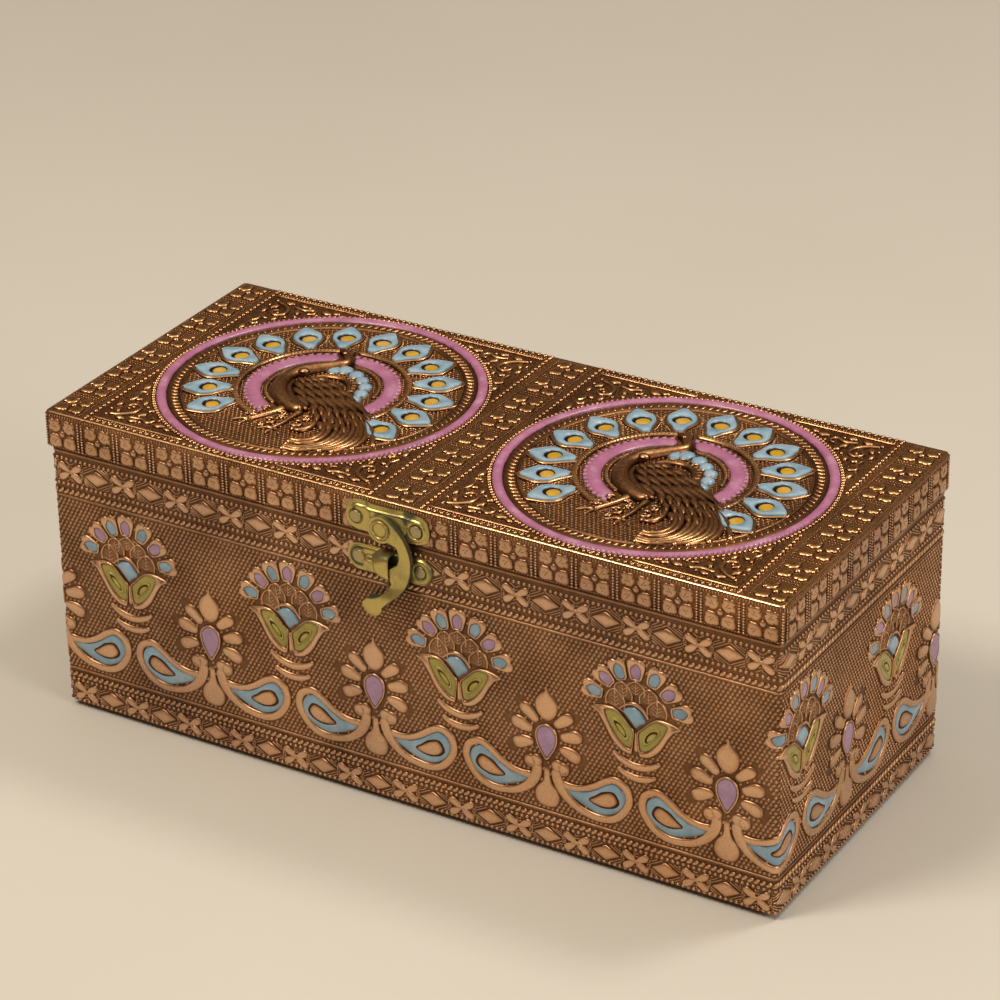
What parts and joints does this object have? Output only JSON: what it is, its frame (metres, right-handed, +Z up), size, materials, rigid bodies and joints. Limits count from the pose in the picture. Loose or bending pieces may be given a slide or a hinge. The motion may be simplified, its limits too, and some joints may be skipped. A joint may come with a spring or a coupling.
{
  "type": "dry fruit box",
  "caption": "Oblong lidded box covered in embossed copper sheet with enamelled birds and flowers, hinged lid, swing latch and lined compartments.",
  "frame": {"origin": "centre of the box's footprint, on the surface that the rubber feet stand on", "axes": "+X along the box to its right end, -Y out of the front with the latch, +Z up"},
  "size_m": [0.25, 0.1142, 0.1046],
  "materials": {
    "board": "raw fibreboard",
    "copper_sheet": "embossed and darkened copper with enamel colours",
    "velvet": "short velvet pile",
    "base_felt": "thin felt",
    "clear_rubber": "clear soft rubber",
    "hinge_brass": "rolled sheet, dulled",
    "pin_steel": "plain wire",
    "nail_brass": "dulled",
    "latch_brass": "antique, dulled with green in the corners"
  },
  "bodies": {
    "box": {"base_board": "board", "front_board": "board", "back_board": "board", "left_board": "board", "right_board": "board", "partition_board": "board", "body_foil": "copper_sheet", "left_lining": "velvet", "right_lining": "velvet", "base_cover": "base_felt", "foot_front_left": "clear_rubber", "foot_front_right": "clear_rubber", "foot_back_left": "clear_rubber", "foot_back_right": "clear_rubber", "left_hinge_body_leaf": "hinge_brass", "right_hinge_body_leaf": "hinge_brass", "left_hinge_pin": "pin_steel", "right_hinge_pin": "pin_steel", "hinge_body_nails": "nail_brass", "catch_plate": "latch_brass", "catch_nails": "nail_brass"},
    "lid": {"lid_board": "board", "lid_front_rail": "board", "lid_back_rail": "board", "lid_left_rail": "board", "lid_right_rail": "board", "lid_lining": "velvet", "lid_rim_foil": "copper_sheet", "lid_top_foil": "copper_sheet", "left_hinge_lid_leaf": "hinge_brass", "right_hinge_lid_leaf": "hinge_brass", "hinge_lid_nails": "nail_brass", "latch_plate": "latch_brass", "latch_plate_nails": "nail_brass", "latch_rivet": "latch_brass"},
    "hook": {"latch_hook": "latch_brass"}
  },
  "joints": [
    {"name": "lid_hinge", "type": "hinge", "parent": "box", "child": "lid", "pos_m": [0, 0.05535, 0.09135], "axis": [-1, 0, 0], "range_deg": [0, 180]},
    {"name": "hook_pivot", "type": "hinge", "parent": "lid", "child": "hook", "pos_m": [-0.0036, -0.05565, 0.0949], "axis": [0, -1, 0], "range_deg": [0, 100]}
  ]
}
